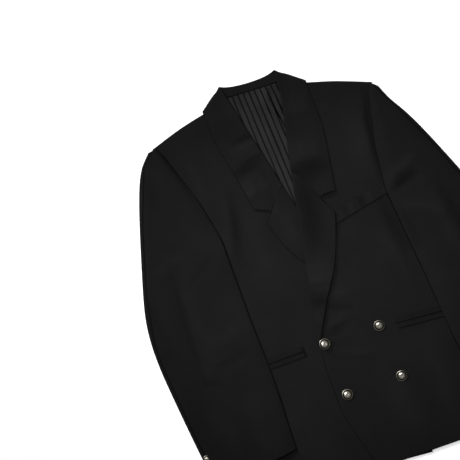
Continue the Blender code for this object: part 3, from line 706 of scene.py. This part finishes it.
for hand, side in (("right", -1), ("left", 1)):
    inner, outer = np.array(SLEEVE_IN), np.array(SLEEVE_OUT[hand])
    under = tailored(f"sleeve_{hand}_under")
    out, down = plan_of(points_of(under))
    raised(under, body_lift(out, down))
    paint_fold_shade(under, [])
    seams_and_shade_lines(under)
    sewn_in(under, f"sleeve_{hand}_under", black_wool)
    upper = tailored(f"sleeve_{hand}_top")
    places = points_of(upper)
    out, down = plan_of(places)
    low = np.interp(down, inner[:, 1], inner[:, 0])
    high = np.interp(down, outer[:, 1], outer[:, 0])
    across = np.clip((np.abs(out) - low) / (high - low), 0, 1)
    roundness = np.interp(down, ROUNDNESS_OVER, [HEAD_ROUNDNESS[hand], LOWER_ROUNDNESS])
    crown = 1 - np.abs(2 * across - 1) ** roundness
    full = FULLNESS + WAVES_DOWN * np.sin(down / WAVE_RUN) + FULLER_AT_HEAD * (1 - step(down, *HEAD))
    top = step(places[:, 2], *UNDER_TO_TOP)
    own = np.maximum(crown * full + folds(out, down, SLEEVE_FOLDS[hand]) * step(across, *BY_THE_BODY), 0)
    raised(upper, body_lift(out, down) + own * top)
    # Painted shade and painted light follow the sleeve's folds.
    paint_fold_shade(upper, SLEEVE_FOLDS[hand])
    edge_unshaded(upper, [(side * (x + ARMHOLE_OUTSET), y) for x, y in SLEEVE_IN[:SOFT_ARMHOLE[hand]]])
    # A dark line of painted shade runs along the crease just inside the sleeve's outer edge.
    seams_and_shade_lines(upper, [(side * (x - CREASE_SHADE_INSET), y) for x, y in SLEEVE_OUT[hand] + [PAST_CUFF]])
    sewn_in(upper, f"sleeve_{hand}_top", black_wool)

# The buttons: cast metal, plated and darkened as old silver, on shanks. A rounded rim and a fine
# groove run round a dimpled dome. Each is turned from its profile, as shares of its width.
BUTTON_RINGS = [(0.30, 0.00), (0.47, 0.02), (0.50, 0.065), (0.49, 0.10), (0.46, 0.12), (0.425, 0.125),
                (0.395, 0.117), (0.375, 0.106), (0.355, 0.117), (0.32, 0.139), (0.26, 0.166),
                (0.20, 0.186), (0.15, 0.192), (0.10, 0.189), (0.06, 0.182), (0.02, 0.179)]
GROOVE_AT = 0.378
GROOVE_WIDE = 0.04
GROOVE_DARK = 0.7
DIMPLE_WIDE = 0.05
DIMPLE_DARK = 0.5
BAND = (0.12, 0.38)
BAND_DARK = 0.85
WORN_RIM = (0.42, 0.46)
RIM_WORN_BY = 0.35
UNDERSIDE = 0.05
ABOVE_CLOTH = 0.0003
TARNISH_SPOT = 2.381


def old_silver(name):
    """Old silver plate on cast metal: bright on the high parts, brown-black in the hollows."""
    made = bpy.data.materials.new(name)
    made.use_nodes = True
    tree = made.node_tree
    shader = tree.nodes["Principled BSDF"]
    spot = node(tree, "TexCoord").outputs["Object"]
    tarnish = node(tree, "TexNoise", {"Scale": per(TARNISH_SPOT), "Detail": 4.0, "Roughness": 0.6},
                   {"Vector": spot})
    hollow = node(tree, "Attribute", {"attribute_name": "hollow"}).outputs["Fac"]
    spread = node(tree, "Math", {"operation": "MULTIPLY_ADD", 1: 0.7},
                  {0: tarnish.outputs["Fac"], 2: hollow})
    share = node(tree, "MapRange", {"From Min": 0.35, "From Max": 1.25},
                 {"Value": spread.outputs["Value"]})
    colour = node(tree, "Mix", {"data_type": "RGBA", 6: linear("#c9c5b8"), 7: linear("#1b1812")},
                  {0: share.outputs["Result"]})
    rough = node(tree, "MapRange", {"To Min": 0.2, "To Max": 0.45}, {"Value": share.outputs["Result"]})
    hammered = node(tree, "Bump", {"Strength": 0.3, "Distance": 0.0003},
                    {"Height": tarnish.outputs["Fac"]})
    tree.links.new(colour.outputs[2], shader.inputs["Base Color"])
    tree.links.new(rough.outputs["Result"], shader.inputs["Roughness"])
    tree.links.new(hammered.outputs["Normal"], shader.inputs["Normal"])
    shader.inputs["Metallic"].default_value = 1.0
    return made


silver = old_silver("old_silver_plate")


def turned_button(name, across, lean):
    """A button on its CAD node's place, turned ring by ring and leaning a little, in radians."""
    low, high = (Vector(corner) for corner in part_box(name))
    middle = (low + high) / 2
    out, down = plan_of(np.array([middle]))
    lift = float(body_lift(out, down)[0]) + ABOVE_CLOTH
    base = Vector((middle.x, middle.y, low.z + lift))
    bpy.ops.object.select_all(action="DESELECT")
    bpy.ops.mesh.primitive_circle_add(vertices=40, radius=BUTTON_RINGS[0][0] * across, fill_type="NGON",
                                      location=base)
    made = bpy.context.active_object
    made.name = name + "_metal"
    bpy.ops.object.transform_apply(location=True, rotation=True, scale=True)
    bpy.ops.object.mode_set(mode="EDIT")
    bpy.ops.mesh.select_mode(type="FACE")
    bpy.ops.mesh.select_all(action="SELECT")
    radius, height = BUTTON_RINGS[0]
    for wide, tall in BUTTON_RINGS[1:]:
        rise = (tall - height) * across
        bpy.ops.mesh.extrude_region_move(TRANSFORM_OT_translate={"value": (0, 0, rise)})
        bpy.ops.transform.resize(value=(wide / radius, wide / radius, 1))
        radius, height = wide, tall
    bpy.ops.mesh.select_all(action="SELECT")
    bpy.ops.mesh.normals_make_consistent(inside=False)
    bpy.ops.transform.rotate(value=lean[0], orient_axis="X", center_override=base)
    bpy.ops.transform.rotate(value=lean[1], orient_axis="Y", center_override=base)
    bpy.ops.object.mode_set(mode="OBJECT")
    smooth = made.modifiers.new("smooth", "SUBSURF")
    smooth.levels = smooth.render_levels = 1
    bpy.ops.object.modifier_apply(modifier="smooth")
    bpy.ops.object.shade_smooth()
    heights = (points_of(made)[:, 2] - base.z) / across
    away = np.hypot(points_of(made)[:, 0] - base.x, points_of(made)[:, 1] - base.y) / across
    sunk = GROOVE_DARK * np.exp(-((away - GROOVE_AT) / GROOVE_WIDE) ** 2) + (heights < UNDERSIDE)
    sunk += DIMPLE_DARK * np.exp(-(away / DIMPLE_WIDE) ** 2)
    sunk += BAND_DARK * step(away, *BAND) - RIM_WORN_BY * step(away, *WORN_RIM)
    mark = made.data.attributes.new("hollow", "FLOAT", "POINT")
    mark.data.foreach_set("value", np.clip(sunk, 0, 1))
    made.data.materials.append(silver)
    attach(made, "root")
    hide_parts(name)


BUTTON_ACROSS = 0.0214
CUFF_BUTTON_ACROSS = 0.015
LEANS = [(0.05, -0.13), (-0.12, 0.06), (0.05, -0.08), (-0.06, 0.10)]
for number, lean in enumerate(LEANS, 1):
    turned_button(f"button_{number}", BUTTON_ACROSS, lean)
for hand in ("right", "left"):
    for number in (1, 2, 3):
        lean = (0.04 * (number - 2), 0.05)
        turned_button(f"cuff_button_{hand}_{number}", CUFF_BUTTON_ACROSS, lean)

# The buttonholes of the left front: each a slit worked all round in black silk twist over a cord.
# Its button covers the end next to the edge, and the other end shows beside it.
STITCH_WIDE = 0.0007


def silk_twist(name):
    """Silk twist: close stitches side by side, a little shinier than the wool round them."""
    made = bpy.data.materials.new(name)
    made.use_nodes = True
    tree = made.node_tree
    shader = tree.nodes["Principled BSDF"]
    spot = node(tree, "TexCoord").outputs["Object"]
    loops = node(tree, "TexWave", {"Scale": WAVE / STITCH_WIDE, "Distortion": 0.6}, {"Vector": spot})
    shades = node(tree, "Mix", {"data_type": "RGBA", 6: linear("#050505"), 7: linear("#1c1c1c")},
                  {0: loops.outputs["Fac"]})
    corded = node(tree, "Bump", {"Strength": 0.5, "Distance": 0.0002}, {"Height": loops.outputs["Fac"]})
    tree.links.new(shades.outputs[2], shader.inputs["Base Color"])
    tree.links.new(corded.outputs["Normal"], shader.inputs["Normal"])
    shader.inputs["Roughness"].default_value = 0.6
    shader.inputs["Specular IOR Level"].default_value = 0.06
    return made


twist = silk_twist("black_silk_twist")
HOLE_LONG = 0.022
HOLE_PAST_BUTTON = 0.008
HOLE_WIDE = 0.0015
HOLE_EDGE = 0.0007
HOLE_ABOVE_CLOTH = 0.0002
for number in (1, 3):
    low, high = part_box(f"button_{number}")
    out, down = plan_of(np.array([(Vector(low) + Vector(high)) / 2]))
    out = out + HOLE_PAST_BUTTON / CM
    bpy.ops.object.select_all(action="DESELECT")
    bpy.ops.mesh.primitive_torus_add(major_segments=48, minor_segments=10, major_radius=HOLE_WIDE,
                                     minor_radius=HOLE_EDGE)
    hole = bpy.context.active_object
    hole.name = f"buttonhole_{number}"
    points = points_of(hole)
    half_straight = HOLE_LONG / 2 - HOLE_WIDE - HOLE_EDGE
    along = points[:, 0] + np.sign(np.round(points[:, 0], 6)) * half_straight
    aside = points[:, 1].copy()
    x, y = place_of(out[0], down[0])
    points[:, 0] = x + along * math.cos(ASKEW) + aside * math.sin(ASKEW)
    points[:, 1] = y - along * math.sin(ASKEW) + aside * math.cos(ASKEW)
    spread_out, spread_down = plan_of(points)
    points[:, 2] += low[2] + HOLE_ABOVE_CLOTH + body_lift(spread_out, spread_down)
    hole.data.vertices.foreach_set("co", points.ravel())
    hole.data.shade_smooth()
    hole.data.materials.append(twist)
    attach(hole, "root")

# The table is a plain pale sheet. A bright room and a broad lamp past the collar light it, and a
# soft spot stands for the brighter middle of the photo.
TABLE_BELOW = 0.0002
SPOT_WIDE = 38
bpy.ops.object.select_all(action="DESELECT")
bpy.ops.mesh.primitive_plane_add(size=8, location=(0, 0, -TABLE_BELOW))
table = bpy.context.active_object
table.name = "table"
pale = bpy.data.materials.new("pale_paper")
pale.use_nodes = True
pale.node_tree.nodes["Principled BSDF"].inputs["Base Color"].default_value = linear("#f4f4f4")
pale.node_tree.nodes["Principled BSDF"].inputs["Roughness"].default_value = 0.9
pale.node_tree.nodes["Principled BSDF"].inputs["Emission Color"].default_value = (1, 1, 1, 1)
pale.node_tree.nodes["Principled BSDF"].inputs["Emission Strength"].default_value = 0.3
table.data.materials.append(pale)

world = bpy.data.worlds.new("room")
world.use_nodes = True
world.node_tree.nodes["Background"].inputs["Color"].default_value = (1, 1, 1, 1)
world.node_tree.nodes["Background"].inputs["Strength"].default_value = 0.26
bpy.context.scene.world = world
for name, kind, spot, aim, size, power in (
    ("key", "AREA", (-2.05, 4.3, 3.0), (-0.1, 0.1, 0), 1.7, 290),
    ("middle", "SPOT", (-0.28, 0.31, 1.45), (-0.02, 0.02, 0), 0.22, 101),
):
    lamp = bpy.data.lights.new(name, kind)
    lamp.energy = power
    if kind == "AREA":
        lamp.size = size
    else:
        lamp.shadow_soft_size = size
        lamp.spot_size = math.radians(SPOT_WIDE)
        lamp.spot_blend = 1.0
    held = bpy.data.objects.new(name, lamp)
    held.location = spot
    held.visible_camera = False
    held.rotation_euler = (Vector(aim) - Vector(spot)).to_track_quat("-Z", "Y").to_euler()
    bpy.context.scene.collection.objects.link(held)

# The camera looks straight down and is turned, so that the garment lies askew in the picture. One
# pixel of the picture is 1.9 mm on the table.
PICTURE_WIDE = 460
PIXEL = 0.0019
OVER = (-0.1344, 0.1433)
AWAY = 2.6
TURNED = -22.7
SENSOR = 36
lens = bpy.data.cameras.new("camera")
lens.sensor_width = SENSOR
lens.lens = SENSOR * AWAY / (PICTURE_WIDE * PIXEL)
camera = bpy.data.objects.new("camera", lens)
camera.location = (*OVER, AWAY)
camera.rotation_euler = (0, 0, math.radians(TURNED))
bpy.context.scene.collection.objects.link(camera)
bpy.context.scene.camera = camera
bpy.context.scene.view_settings.view_transform = "Standard"
